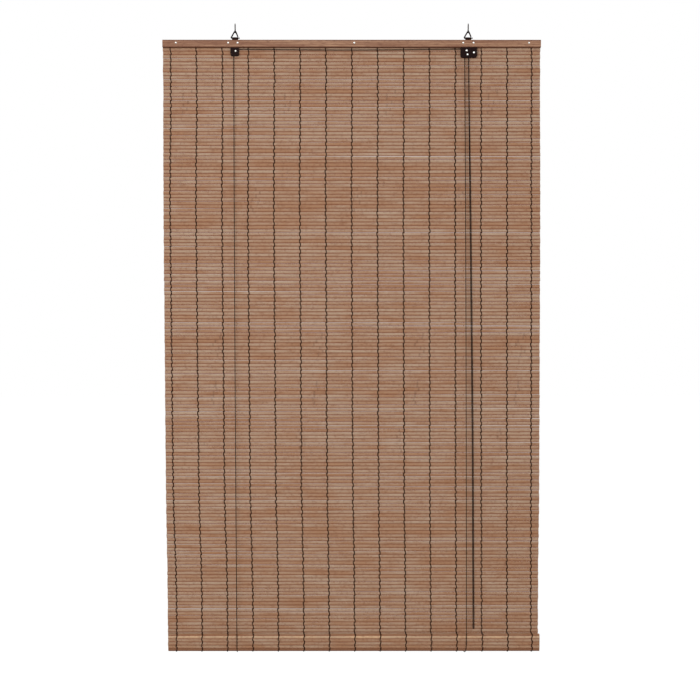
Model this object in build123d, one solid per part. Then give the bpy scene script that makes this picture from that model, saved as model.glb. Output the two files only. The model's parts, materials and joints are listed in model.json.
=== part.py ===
"""Bamboo roll up blind: a reed mat clamped in a wooden head rail and hung from two ceiling hooks.

Two lift cords go down behind the mat, under a flat roll at its bottom, and up in front to pulleys
under the rail. Both end in one pull cord, which a cord lock holds.

Axes: X to the right seen from the room, Y away from the room, Z up.
Origin: in the plane of the ceiling, midway between the two screw hooks. Sizes are in millimetres.
"""

from build123d import *
from math import cos, pi, radians, sin, tan
import os

# Hooks and rings
hook_spacing = 617.0
hook_wire = 2.5
hook_screw_length = 9.0
hook_point_length = 3.0
hook_point_radius = 0.3
hook_depth = 12.0
hook_bowl_radius = 4.0
hook_neck_top = 1.0
hook_neck_drop = 1.5
hook_shoulder_drop = 3.2
hook_lip_height = 5.0
hook_neck_bend = 1.8
hinge_drop = 26.35
ring_wire = 2.6
ring_seat = 0.1
ring_left_lean = 30.0
ring_right_lean = 22.0
ring_corner_bend = 1.5
ring_leg_end_height = 3.6
ring_run_reach = 11.6

# Head rail
rail_length = 1000.0
rail_height = 20.0
rail_gap = 5.65
front_batten_thickness = 9.0
back_batten_thickness = 6.0
batten_edge_round = 1.0
front_edge_round = 2.6
left_end_nail = 35.4
right_end_nail = 31.3
middle_nail = 6.9
left_bracket_nails = (-17.8, 7.1)
right_bracket_nails = (-13.9, 13.7)
nail_drop = 8.2
nail_shank = 1.6
nail_head = 5.6
nail_head_height = 1.5
nail_depth = 14.0
drive_fit = 0.02
cut_over = 1.0

# Reed mat
mat_inset = 1.2
mat_drop = 1564.0
mat_lean = 4.0
slat_pitch = 9.2
slat_thickness = 1.8
slat_ridge = 0.7
clamped_slats = 2
clamp_reach = 0.3
hidden_slats = 4
slats_per_slot_group = 3
slot_height = 0.5
slot_margin = 6.0
warp_count = 15
warp_edge = 18.8
warp_shift = 0.4
warp_lean = 7.8
warp_width = 3.2
warp_thickness = 1.0
warp_inset = 0.3
warp_seat = 0.05
warp_case_gap = 1.0

# Bottom roll
roll_overhang = 1.2
roll_shift = 6.0
bar_height = 43.8
bar_thickness = 9.2
wrap_clearance = 0.1
wrap_ridges = 12
roll_clearance = 0.3
roll_thread_jog = 0.9

# Brackets, pulleys and cord lock
sheet = 1.0
knuckle_width = 16.0
knuckle_clearance = 0.05
knuckle_slit = 0.5
wheel_radius = 6.2
wheel_width = 3.6
wheel_side_clearance = 0.3
groove_bottom_radius = 4.0
groove_bottom_width = 1.8
groove_mouth_width = 2.6
pin_diameter = 3.0
running_clearance = 0.05
rivet_head = 5.4
rivet_head_height = 1.2
left_case_from_hook = (-12.0, 10.4)
left_case_height = 22.4
left_wheel_from_hook = 1.5
left_wheel_drop = 9.2
lock_case_from_hook = (-20.7, 22.5)
lock_case_height = 26.4
lock_wheel_from_hook = -4.9
lock_wheel_drop = 8.5
case_corner = 5.0
anvil_from_hook = -2.5
anvil_drop = 18.8
pawl_pivot_from_hook = 14.4
pawl_pivot_drop = 13.5
pawl_hang_angle = 23.0
pawl_lock_angle = 67.0
pawl_hub_radius = 3.6
pawl_nose_radius = 2.2
pawl_heel_gap = 0.3
pinch_clearance = 0.2

# Cords
cord = 2.0
cord_clearance = 0.15
cord_joint = 0.05
cord_seat = 0.1
bend_slack = 0.05
wheel_lead = 5.0
cross_cord_sag = 3.0
left_cord_places = (-312.2, -308.5)
right_cord_places = (304.9, 308.4)
cord_middle_drop = 700.0
right_cord_back_place = 299.5
sling_height = 30.0
sling_bend = 9.0
staple_wire = 1.2
staple_leg = 5.0
staple_drop = 7.0
cord_end_above_staple = 4.0
pull_cord_places = ((314.2, -380.0), (318.8, -700.0), (323.5, -1020.0), (326.4, -1345.0))
pull_cord_end = (328.6, -1605.0)
pull_cord_y = -5.9
pull_cord_fold = 4.0
pull_cord_spread = 1.4
bend_share = 0.45

# Sizes and places that follow from the sizes above
mat_length = rail_length - 2 * mat_inset
roll_length = mat_length + 2 * roll_overhang
warp_spacing = (mat_length - 2 * warp_edge) / (warp_count - 1)
visible_slats = round(mat_drop / slat_pitch)
hinge_z = -hinge_drop
rail_top = hinge_z - rail_gap
rail_bottom = rail_top - rail_height
knuckle_inner = ring_wire / 2 + knuckle_clearance
mat_front = -knuckle_inner
mat_back = mat_front + slat_thickness
plate_front = mat_front - sheet
batten_front = mat_front - front_batten_thickness
batten_back = mat_back + back_batten_thickness
mat_top = rail_bottom + clamped_slats * slat_pitch - clamp_reach
slat_rows = clamped_slats + visible_slats + hidden_slats
mat_height = slat_rows * slat_pitch
mat_bottom = mat_top - mat_height
wrap_half_height = bar_height / 2 + wrap_clearance + slat_thickness
wrap_half_thickness = bar_thickness / 2 + wrap_clearance + slat_thickness
roll_half_height = wrap_half_height + warp_thickness
roll_half_thickness = wrap_half_thickness + warp_thickness
roll_z = rail_bottom - clamp_reach - visible_slats * slat_pitch - roll_half_height
roll_y = mat_front - warp_thickness - roll_clearance - roll_half_thickness
pitch_radius = groove_bottom_radius + cord_clearance + cord / 2
single_gap = wheel_width + 2 * wheel_side_clearance
double_gap = 2 * wheel_width + 3 * wheel_side_clearance
rear_wheel_y = plate_front - wheel_side_clearance - wheel_width / 2
front_wheel_y = rear_wheel_y - wheel_width - wheel_side_clearance
left_hook_x = -hook_spacing / 2
right_hook_x = hook_spacing / 2
nail_places = (
    left_end_nail - rail_length / 2,
    *(left_hook_x + reach for reach in left_bracket_nails),
    middle_nail,
    *(right_hook_x + reach for reach in right_bracket_nails),
    rail_length / 2 - right_end_nail,
)
left_wheel = (left_hook_x + left_wheel_from_hook, rail_bottom - left_wheel_drop)
lock_wheel = (right_hook_x + lock_wheel_from_hook, rail_bottom - lock_wheel_drop)
anvil = (right_hook_x + anvil_from_hook, rail_bottom - anvil_drop)
pawl_pivot = (right_hook_x + pawl_pivot_from_hook, rail_bottom - pawl_pivot_drop)
lock_web_x = right_hook_x + lock_case_from_hook[1] - sheet
pull_x = lock_wheel[0] + pitch_radius
cord_back_y = batten_back + cord / 2 + cord_seat
sling_back_y = mat_back + warp_thickness + roll_clearance + cord / 2
sling_front_y = roll_y - roll_half_thickness - roll_clearance - cord / 2
sling_bottom = roll_z - roll_half_height - roll_clearance - cord / 2
sling_top = sling_bottom + sling_height


def box(x_range, y_range, z_range):
    """A block between the given limits."""
    size = [high - low for low, high in (x_range, y_range, z_range)]
    middle = [(high + low) / 2 for low, high in (x_range, y_range, z_range)]
    return Pos(*middle) * Box(*size)


def rod_y(x, z, radius, y_range):
    """A round bar along Y."""
    low, high = y_range
    return Pos(x, (low + high) / 2, z) * Rot(90, 0, 0) * Cylinder(radius, high - low)


def rod_x(y, z, radius, x_range):
    """A round bar along X."""
    low, high = x_range
    return Pos((low + high) / 2, y, z) * Rot(0, 90, 0) * Cylinder(radius, high - low)


def tube(path, diameter):
    """A round cord or wire along a path."""
    start = Plane(origin=path @ 0, z_dir=path % 0)
    return sweep(start * Circle(diameter / 2), path=path)


def bend_radii(points, fixed):
    """The bend at each corner: as large as its two runs allow, unless fixed gives that corner's radius."""
    radii = []
    for n in range(1, len(points) - 1):
        before = Vector(points[n]) - Vector(points[n - 1])
        after = Vector(points[n + 1]) - Vector(points[n])
        turn = radians(before.get_angle(after))
        free = bend_share * min(before.length, after.length) / tan(turn / 2)
        radii.append(fixed.get(n, free))
    return radii


def cord_tube(name, points, fixed=None):
    """A cord of straight runs joined by tangent arcs. Prints its length, volume and bends."""
    radii = bend_radii(points, fixed or {})
    path = FilletPolyline(*points, radius=radii) if radii else Line(*points)
    solid = tube(path, cord)
    length = path.length
    plain = length * pi * (cord / 2) ** 2
    bends = ", ".join(f"{r:.1f}" for r in radii)
    print(f"{name}: length {length:.1f}, volume {solid.volume:.1f} of {plain:.1f}, bends {bends}")
    return solid


def screw_hook(x):
    """A screw hook seen edge on: a pointed shank for the ceiling and a round bowl below."""
    radius = hook_wire / 2
    side = hook_bowl_radius
    shank_height = hook_screw_length + hook_neck_top
    shank = Pos(x, 0, hook_screw_length - shank_height / 2) * Cylinder(radius, shank_height)
    point = Cone(radius, hook_point_radius, hook_point_length)
    point = Pos(x, 0, hook_screw_length + hook_point_length / 2) * point
    points = [
        (x, 0, -hook_neck_top),
        (x, 0, -hook_neck_top - hook_neck_drop),
        (x, side, -hook_neck_top - hook_shoulder_drop),
        (x, side, -hook_depth),
        (x, -side, -hook_depth),
        (x, -side, -hook_depth + hook_lip_height),
    ]
    bowl_bend = side - bend_slack
    path = FilletPolyline(*points, radius=[hook_neck_bend, hook_neck_bend, bowl_bend, bowl_bend])
    return shank + point + tube(path, hook_wire)


def hanging_ring(x):
    """One bent wire: a triangle with an open lower right corner. Its bottom run is the hinge pin."""
    bend = hook_wire / 2 + ring_seat + ring_wire / 2
    left_lean, right_lean = radians(ring_left_lean), radians(ring_right_lean)
    half_corner = (left_lean + right_lean) / 2
    tilt = (left_lean - right_lean) / 2
    reach = bend / sin(half_corner)
    top_x = x + reach * sin(tilt)
    top_z = -hook_depth + reach * cos(tilt)
    leg_end_z = hinge_z + ring_leg_end_height
    points = [
        (top_x + (top_z - leg_end_z) * tan(right_lean), 0, leg_end_z),
        (top_x, 0, top_z),
        (top_x - (top_z - hinge_z) * tan(left_lean), 0, hinge_z),
        (x + ring_run_reach, 0, hinge_z),
    ]
    return tube(FilletPolyline(*points, radius=[bend, ring_corner_bend]), ring_wire)


def nail_holes():
    """Clearance for the shanks of the rail's nails."""
    radius = nail_shank / 2 + drive_fit
    depth = (batten_front - cut_over, batten_front + nail_depth + drive_fit)
    return [rod_y(x, rail_top - nail_drop, radius, depth) for x in nail_places]


def rail_batten(y_range, outer_side, outer_round):
    """One wooden strip of the head rail, with softened long edges. Its outer side may be rounder."""
    half = rail_length / 2
    strip = box((-half, half), y_range, (rail_bottom, rail_top))
    pairs = strip.edges().filter_by(Axis.X).group_by(Axis.Y)
    strip = fillet(pairs[outer_side], outer_round)
    pairs = strip.edges().filter_by(Axis.X).group_by(Axis.Y)
    return fillet(pairs[-1 - outer_side], batten_edge_round)


def head_rail_front():
    """The front strip, rebated at the back for the two bracket plates."""
    strip = rail_batten((batten_front, mat_front), 0, front_edge_round)
    for x in (left_hook_x, right_hook_x):
        half = knuckle_width / 2 + drive_fit
        strip -= box((x - half, x + half), (plate_front, mat_front), (rail_bottom, rail_top))
    return strip - nail_holes()


def head_rail_back():
    """The back strip, which clamps the mat to the front strip."""
    return rail_batten((mat_back, batten_back), -1, batten_edge_round) - nail_holes()


def dome(x, z, face, diameter, height):
    """A rivet's or nail's rounded head, standing forward of the face."""
    radius = diameter / 2
    sphere = (radius**2 + height**2) / (2 * height)
    ball = Pos(x, face - height + sphere, z) * Sphere(sphere)
    return ball & box((x - radius, x + radius), (face - height, face), (z - radius, z + radius))


def rail_nails():
    """The nails that hold the rail's strips together, with domed heads."""
    nails = []
    for x in nail_places:
        z = rail_top - nail_drop
        shank = rod_y(x, z, nail_shank / 2, (batten_front, batten_front + nail_depth))
        nails.append(shank + dome(x, z, batten_front, nail_head, nail_head_height))
    return nails


def mat_shift(z):
    """How far the mat stands to the right at this height, because it leans."""
    return mat_lean * (mat_top - z) / mat_height


def reed_mat():
    """The wall of slats: a ridge for each slat in front, and slots between most of them."""
    valley = mat_front + slat_ridge
    edges = [
        Line((valley, mat_bottom), (mat_back, mat_bottom)),
        Line((mat_back, mat_bottom), (mat_back, mat_top)),
        Line((mat_back, mat_top), (valley, mat_top)),
    ]
    for row in range(slat_rows):
        high = mat_top - row * slat_pitch
        low = high - slat_pitch
        edges.append(ThreePointArc((valley, high), (mat_front, (high + low) / 2), (valley, low)))
    section = Plane.YZ * make_face(edges)
    half = mat_length / 2
    wall = Pos(-half, 0, 0) * extrude(section, amount=mat_length + mat_lean, dir=(1, 0, 0))
    high, low = mat_top + cut_over, mat_bottom - cut_over
    waste = half + mat_lean + slat_pitch
    for side in (-1, 1):
        end = Polyline(
            (side * half + mat_shift(high), high),
            (side * waste, high),
            (side * waste, low),
            (side * half + mat_shift(low), low),
            close=True,
        )
        cut = extrude(Plane.XZ * make_face(end), amount=slat_thickness + 2 * cut_over)
        wall -= Pos(0, mat_back + cut_over, 0) * cut
    slots = []
    for row in range(clamped_slats + 1, slat_rows):
        if row % slats_per_slot_group:
            z = mat_top - row * slat_pitch
            reach = half - slot_margin
            x_range = (mat_shift(z) - reach, mat_shift(z) + reach)
            z_range = (z - slot_height / 2, z + slot_height / 2)
            slots.append(box(x_range, (mat_front, mat_back + cut_over), z_range))
    print(f"mat: {slat_rows} slats, {len(slots)} slots")
    return wall - slots - nail_holes()


def warp_place(number, drop_share):
    """Where a warp thread stands along X, at a share of the way down the mat."""
    from_middle = number - (warp_count + 1) / 2
    return from_middle * warp_spacing + warp_shift + warp_lean * drop_share


def case_space(hook_x, case_from_hook, height):
    """The room in front of the mat that a pulley case needs."""
    low, high = case_from_hook
    x_range = (hook_x + low - warp_case_gap, hook_x + high + warp_case_gap)
    z_range = (rail_bottom - height - warp_case_gap, rail_bottom)
    return box(x_range, (plate_front, mat_front), z_range)


def warp_thread(number):
    """A flat band down the front of the mat, clear of the cases, and up its back."""
    top = rail_bottom - warp_inset
    bottom = mat_bottom - warp_thickness
    top_x, bottom_x = warp_place(number, 0), warp_place(number, 1)
    half = warp_width / 2
    outline = Polyline(
        (top_x - half, top),
        (top_x + half, top),
        (bottom_x + half, bottom),
        (bottom_x - half, bottom),
        close=True,
    )
    y_back = mat_back + warp_thickness
    depth = slat_thickness + 2 * warp_thickness
    band = Pos(0, y_back, 0) * extrude(Plane.XZ * make_face(outline), amount=depth)
    wide = (-mat_length, mat_length)
    band -= box(wide, (mat_front, mat_back), (mat_bottom, top + cut_over))
    band -= case_space(left_hook_x, left_case_from_hook, left_case_height)
    return band - case_space(right_hook_x, lock_case_from_hook, lock_case_height)


def stadium(half_height, half_thickness):
    """A flat bar's section with fully round edges, about the roll's axis, as a face across X."""
    shape = SlotOverall(2 * half_height, 2 * half_thickness, rotation=90)
    return Plane.YZ * (Pos(roll_y, roll_z) * shape)


def hem_bar():
    """The flat wooden bar inside the bottom roll."""
    face = stadium(bar_height / 2, bar_thickness / 2)
    return Pos(roll_shift - roll_length / 2, 0, 0) * extrude(face, amount=roll_length, dir=(1, 0, 0))


def rim_point(distance, offset):
    """A point on a loop round the bar at the given offset. Distance runs along it from the top."""
    radius = bar_thickness / 2 + offset
    flat = bar_height - bar_thickness
    bend = pi * radius
    distance = distance % (2 * (flat + bend))
    side = 1
    if distance >= flat + bend:
        distance -= flat + bend
        side = -1
    if distance < bend / 2:
        angle = distance / radius
        y, z = radius * sin(angle), flat / 2 + radius * cos(angle)
    elif distance < bend / 2 + flat:
        y, z = radius, flat / 2 - (distance - bend / 2)
    else:
        angle = (distance - bend / 2 - flat) / radius
        y, z = radius * cos(angle), -flat / 2 - radius * sin(angle)
    return roll_y + side * y, roll_z + side * z


def wound_mat():
    """The mat's last turn, wound round the bar: ridges outside, as on the mat."""
    valley = wrap_clearance + slat_thickness - slat_ridge
    crown = wrap_clearance + slat_thickness
    flat = bar_height - bar_thickness
    valley_loop = 2 * (flat + pi * (bar_thickness / 2 + valley))
    crown_loop = 2 * (flat + pi * (bar_thickness / 2 + crown))
    edges = []
    for ridge in range(wrap_ridges):
        start = rim_point(valley_loop * ridge / wrap_ridges, valley)
        top = rim_point(crown_loop * (ridge + 0.5) / wrap_ridges, crown)
        end = rim_point(valley_loop * (ridge + 1) / wrap_ridges, valley)
        edges.append(ThreePointArc(start, top, end))
    outside = Plane.YZ * make_face(edges)
    inside = stadium(bar_height / 2 + wrap_clearance, bar_thickness / 2 + wrap_clearance)
    wall = extrude(outside - inside, amount=roll_length, dir=(1, 0, 0))
    return Pos(roll_shift - roll_length / 2, 0, 0) * wall


def roll_threads():
    """The warp threads where they go round the bottom roll, one band each."""
    outside = stadium(roll_half_height, roll_half_thickness)
    ring = outside - stadium(wrap_half_height + warp_seat, wrap_half_thickness + warp_seat)
    band = extrude(ring, amount=warp_width, dir=(1, 0, 0))
    places = [warp_place(n, 1) + roll_thread_jog for n in range(1, warp_count + 1)]
    return [Pos(x - warp_width / 2, 0, 0) * band for x in places]


def case_cheek(x_range, y_range, height):
    """One side of a pulley case, with rounded lower corners."""
    plate = box(x_range, y_range, (rail_bottom - height, rail_bottom))
    corners = plate.edges().filter_by(Axis.Y).group_by(Axis.Z)[0]
    return fillet(corners, case_corner)


def bracket(hook_x, case_from_hook, height, gap, web_side, pin_places):
    """One folded sheet: a hinge knuckle, a plate behind the front strip, and a pulley case below."""
    x_range = (hook_x + case_from_hook[0], hook_x + case_from_hook[1])
    front = plate_front - gap
    web_x = x_range[0] if web_side < 0 else x_range[1] - sheet
    web_z = (rail_bottom - height + case_corner, rail_bottom)
    case = case_cheek(x_range, (plate_front, mat_front), height)
    case += case_cheek(x_range, (front - sheet, front), height)
    case += box((web_x, web_x + sheet), (front, plate_front), web_z)
    half = knuckle_width / 2
    plate_x = (hook_x - half, hook_x + half)
    case += box(plate_x, (plate_front, mat_front), (rail_bottom, hinge_z))
    outer = knuckle_inner + sheet
    knuckle = rod_x(0, hinge_z, outer, plate_x) - rod_x(0, hinge_z, knuckle_inner, plate_x)
    slit_y = (-knuckle_inner, -knuckle_inner + knuckle_slit)
    knuckle -= box(plate_x, slit_y, (hinge_z - outer, hinge_z - knuckle_slit))
    case = case - rod_x(0, hinge_z, knuckle_inner, plate_x) + knuckle
    for x, z in pin_places:
        case -= rod_y(x, z, pin_diameter / 2 + drive_fit, (front - sheet, mat_front))
    return case - nail_holes()


def rivet(place, gap):
    """A pin through both cheeks of a case, with a domed head in front."""
    x, z = place
    front = plate_front - gap - sheet
    pin = rod_y(x, z, pin_diameter / 2, (front, mat_front))
    return pin + dome(x, z, front, rivet_head, rivet_head_height)


def pulley(place, y):
    """A grooved wheel for the cord, running on a pin."""
    x, z = place
    bore = pin_diameter / 2 + running_clearance
    half = wheel_width / 2
    bottom, mouth = groove_bottom_width / 2, groove_mouth_width / 2
    outline = Polyline(
        (bore, -half),
        (wheel_radius, -half),
        (wheel_radius, -mouth),
        (groove_bottom_radius, -bottom),
        (groove_bottom_radius, bottom),
        (wheel_radius, mouth),
        (wheel_radius, half),
        (bore, half),
        close=True,
    )
    wheel = revolve(Plane.XZ * make_face(outline), axis=Axis.Z)
    return Pos(x, y, z) * Rot(90, 0, 0) * wheel


def pawl():
    """The lock's swinging cam. Its nose pinches the cords against the anvil pin."""
    x, z = pawl_pivot
    hang = radians(pawl_hang_angle)
    lock = radians(pawl_lock_angle)
    reach = (x - pull_x - cord / 2 - pinch_clearance - pawl_nose_radius) / sin(lock)
    nose_x, nose_z = x - reach * sin(hang), z - reach * cos(hang)
    heel_radius = (lock_web_x - pawl_heel_gap - x) / 2
    width = double_gap - 2 * wheel_side_clearance
    middle = plate_front - double_gap / 2
    y_range = (middle - width / 2, middle + width / 2)
    hub = Pos(x, z) * Circle(pawl_hub_radius)
    nose = Pos(nose_x, nose_z) * Circle(pawl_nose_radius)
    heel = Pos(x + heel_radius, z) * Circle(heel_radius)
    face = make_hull(hub.edges() + nose.edges()) + make_hull(hub.edges() + heel.edges())
    body = Pos(0, y_range[1], 0) * extrude(Plane.XZ * face, amount=width)
    return body - rod_y(x, z, pin_diameter / 2 + running_clearance, y_range)


def staple(x):
    """A wire staple over the tied end of a lift cord, on the back of the rail."""
    z = rail_top - staple_drop
    side = cord / 2 + cord_seat + staple_wire / 2
    crown_y = cord_back_y + side
    points = [
        (x - side, batten_back - staple_leg, z),
        (x - side, crown_y, z),
        (x + side, crown_y, z),
        (x + side, batten_back - staple_leg, z),
    ]
    return tube(FilletPolyline(*points, radius=[staple_wire, staple_wire]), staple_wire)


def staple_holes(x):
    """Holes in the back strip for a staple's legs."""
    z = rail_top - staple_drop
    side = cord / 2 + cord_seat + staple_wire / 2
    y_range = (batten_back - staple_leg, batten_back + cut_over)
    return [rod_y(x + way * side, z, staple_wire / 2 + drive_fit, y_range) for way in (-1, 1)]


def back_run(name, x):
    """A lift cord behind the mat, from its staple down to the sling."""
    top = rail_top - staple_drop + cord_end_above_staple
    return cord_tube(name, [(x, cord_back_y, top), (x, sling_back_y, sling_top + cord_joint)])


def sling(name, back_x, front_x):
    """The lift cord round the bottom roll."""
    points = [
        (back_x, sling_back_y, sling_top),
        (back_x, sling_back_y, sling_bottom),
        (front_x, sling_front_y, sling_bottom),
        (front_x, sling_front_y, sling_top),
    ]
    return cord_tube(name, points, {1: sling_bend, 2: sling_bend})


def front_run(name, wheel, y, places):
    """A lift cord in front of the mat, from the sling up to its pulley."""
    middle_x, bottom_x = places
    top_z = wheel[1] - wheel_lead - cord_joint
    share = (top_z + cord_middle_drop) / (top_z - sling_top)
    middle_y = y + (sling_front_y - y) * share
    points = [
        (wheel[0] - pitch_radius, y, top_z),
        (middle_x, middle_y, -cord_middle_drop),
        (bottom_x, sling_front_y, sling_top + cord_joint),
    ]
    return cord_tube(name, points)


def cross_cord():
    """The left cord from its pulley, under the rail, and over the lock's rear pulley."""
    left, right = left_wheel[0] - pitch_radius, lock_wheel[0] + pitch_radius
    left_top, right_top = left_wheel[1] + pitch_radius, lock_wheel[1] + pitch_radius
    points = [
        (left, rear_wheel_y, left_wheel[1] - wheel_lead),
        (left, rear_wheel_y, left_top),
        ((left + right) / 2, rear_wheel_y, (left_top + right_top) / 2 - cross_cord_sag),
        (right, rear_wheel_y, right_top),
        (right, rear_wheel_y, lock_wheel[1] - wheel_lead),
    ]
    return cord_tube("cross_cord", points, {1: pitch_radius, 3: pitch_radius})


def lock_cord():
    """The right cord over the lock's front pulley."""
    left, right = lock_wheel[0] - pitch_radius, lock_wheel[0] + pitch_radius
    low, top = lock_wheel[1] - wheel_lead, lock_wheel[1] + pitch_radius
    points = [
        (left, front_wheel_y, low),
        (left, front_wheel_y, top),
        (right, front_wheel_y, top),
        (right, front_wheel_y, low),
    ]
    bend = pitch_radius - bend_slack
    return cord_tube("lock_cord", points, {1: bend, 2: bend})


def pull_cord():
    """Both cords as one pull cord: down from the lock, round a fold, and back up."""
    start_z = lock_wheel[1] - wheel_lead - cord_joint
    end_x, end_z = pull_cord_end
    down = [(pull_x, rear_wheel_y, start_z)]
    up = [(pull_x, front_wheel_y, start_z)]
    for x, z in (*pull_cord_places, (end_x, end_z)):
        down.append((x + pull_cord_spread, pull_cord_y + pull_cord_spread, z))
        up.append((x - pull_cord_spread, pull_cord_y - pull_cord_spread, z))
    points = down + up[::-1]
    bend = pull_cord_fold / 2 - bend_slack
    folds = {len(down) - 1: bend, len(down): bend}
    return cord_tube("pull_cord", points, folds)


def build():
    """All the parts, by node name."""
    lock_pins = (lock_wheel, anvil, pawl_pivot)
    left_x, right_x = left_cord_places[1], right_cord_places[1]
    back_x = right_cord_back_place
    parts = {
        "left_hook": screw_hook(left_hook_x),
        "right_hook": screw_hook(right_hook_x),
        "left_ring": hanging_ring(left_hook_x),
        "right_ring": hanging_ring(right_hook_x),
        "head_rail_front": head_rail_front(),
        "head_rail_back": head_rail_back() - staple_holes(left_x) - staple_holes(back_x),
        "rail_nails": rail_nails(),
        "reed_mat": reed_mat(),
        "left_bracket": bracket(
            left_hook_x, left_case_from_hook, left_case_height, single_gap, -1, (left_wheel,)
        ),
        "lock_bracket": bracket(
            right_hook_x, lock_case_from_hook, lock_case_height, double_gap, 1, lock_pins
        ),
        "left_pulley": pulley(left_wheel, rear_wheel_y),
        "left_pulley_pin": rivet(left_wheel, single_gap),
        "lock_rear_pulley": pulley(lock_wheel, rear_wheel_y),
        "lock_front_pulley": pulley(lock_wheel, front_wheel_y),
        "lock_pulley_pin": rivet(lock_wheel, double_gap),
        "lock_anvil_pin": rivet(anvil, double_gap),
        "lock_pawl": pawl(),
        "lock_pawl_pin": rivet(pawl_pivot, double_gap),
        "left_staple": staple(left_x),
        "right_staple": staple(back_x),
        "left_cord_back": back_run("left_cord_back", left_x),
        "right_cord_back": back_run("right_cord_back", back_x),
        "left_sling": sling("left_sling", left_x, left_x),
        "right_sling": sling("right_sling", back_x, right_x),
        "left_cord_front": front_run("left_cord_front", left_wheel, rear_wheel_y, left_cord_places),
        "right_cord_front": front_run(
            "right_cord_front", lock_wheel, front_wheel_y, right_cord_places
        ),
        "cross_cord": cross_cord(),
        "lock_cord": lock_cord(),
        "pull_cord": pull_cord(),
        "hem_bar": hem_bar(),
        "hem_wrap": wound_mat(),
        "hem_threads": roll_threads(),
    }
    for number in range(1, warp_count + 1):
        parts[f"warp_thread_{number:02d}"] = warp_thread(number)
    return parts


os.makedirs("parts", exist_ok=True)
for node, shape in build().items():
    whole = Compound(children=shape) if isinstance(shape, list) else shape
    export_step(whole, f"parts/{node}.step")
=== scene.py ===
# %% [markdown]
# A bamboo roll up blind: a mat of split bamboo slats that hangs from a wooden head rail, with lift cords,
# two pulley cases and a flat roll at the bottom. The imported CAD model is the frame: it gives every place
# and size, and Blender adds what makes it look real. We load it first. All measures of the blind below are
# in millimetres, times MM where Blender takes metres.

# %% The frame
import bmesh
import bpy
import json
import math
import numpy as np
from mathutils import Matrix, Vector


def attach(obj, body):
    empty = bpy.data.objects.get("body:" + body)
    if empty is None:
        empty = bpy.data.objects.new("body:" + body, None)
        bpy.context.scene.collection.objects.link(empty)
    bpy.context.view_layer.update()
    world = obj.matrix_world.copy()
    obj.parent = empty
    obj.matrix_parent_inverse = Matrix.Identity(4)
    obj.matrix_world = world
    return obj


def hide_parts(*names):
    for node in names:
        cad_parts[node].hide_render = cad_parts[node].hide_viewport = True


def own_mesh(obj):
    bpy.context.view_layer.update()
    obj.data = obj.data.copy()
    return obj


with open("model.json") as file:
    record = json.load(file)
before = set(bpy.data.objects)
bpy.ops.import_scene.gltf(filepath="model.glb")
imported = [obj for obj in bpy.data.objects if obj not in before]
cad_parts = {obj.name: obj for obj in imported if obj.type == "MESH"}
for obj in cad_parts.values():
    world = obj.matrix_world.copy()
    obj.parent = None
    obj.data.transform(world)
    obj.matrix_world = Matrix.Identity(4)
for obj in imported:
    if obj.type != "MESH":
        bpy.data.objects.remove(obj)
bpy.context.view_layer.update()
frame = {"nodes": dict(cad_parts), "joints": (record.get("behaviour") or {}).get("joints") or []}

MM = 0.001

# %% [markdown]
# The photograph was taken from 3.6 metres away, at the height of the mat's upper half, looking down by less
# than three degrees. A camera is placed from such facts: where it stands, how it is turned, and its lens. A
# long lens from far away keeps the mat's sides almost parallel, as they are in the photograph.

# %% The camera
CAMERA_PLACE = (-0.0094, -3.6, -0.6856)
LENS = 69.26
LOOKS_DOWN, TURNED = 2.66, -0.079

camera_data = bpy.data.cameras.new("photo_camera")
camera_data.lens = LENS
camera = bpy.data.objects.new("photo_camera", camera_data)
camera.location = CAMERA_PLACE
camera.rotation_euler = (math.radians(90 - LOOKS_DOWN), 0, math.radians(TURNED))
bpy.context.scene.collection.objects.link(camera)
bpy.context.scene.camera = camera
print("camera lens:", camera_data.lens, "mm")

# %% [markdown]
# Node trees are easier to read as sums than as boxes. This class wraps one socket and overloads the
# operators, so that 1 - mask adds a Math node. The same class serves materials and geometry.


# %% Sockets that add up
class Wire:
    """One output socket, with the operators that add Math nodes."""

    def __init__(self, sheet, socket):
        self.sheet, self.socket = sheet, socket

    def math(self, how, *values):
        return self.sheet.add("ShaderNodeMath", {"operation": how}, dict(enumerate(values)))

    def __add__(self, other):
        return self.math("ADD", self, other)

    def __radd__(self, other):
        return self.math("ADD", other, self)

    def __sub__(self, other):
        return self.math("SUBTRACT", self, other)

    def __rsub__(self, other):
        return self.math("SUBTRACT", other, self)

    def __mul__(self, other):
        return self.math("MULTIPLY", self, other)

    def __rmul__(self, other):
        return self.math("MULTIPLY", other, self)

    def __truediv__(self, other):
        return self.math("DIVIDE", self, other)

    def __pow__(self, other):
        return self.math("POWER", self, other)

    def __mod__(self, other):
        return self.math("FLOORED_MODULO", self, other)


print("a socket is wrapped by:", Wire.__name__)

# %% [markdown]
# Any other node comes from one method, which takes the node's type, its settings and the values or links of
# its inputs. The few kinds that come up again and again have short names of their own.


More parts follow.
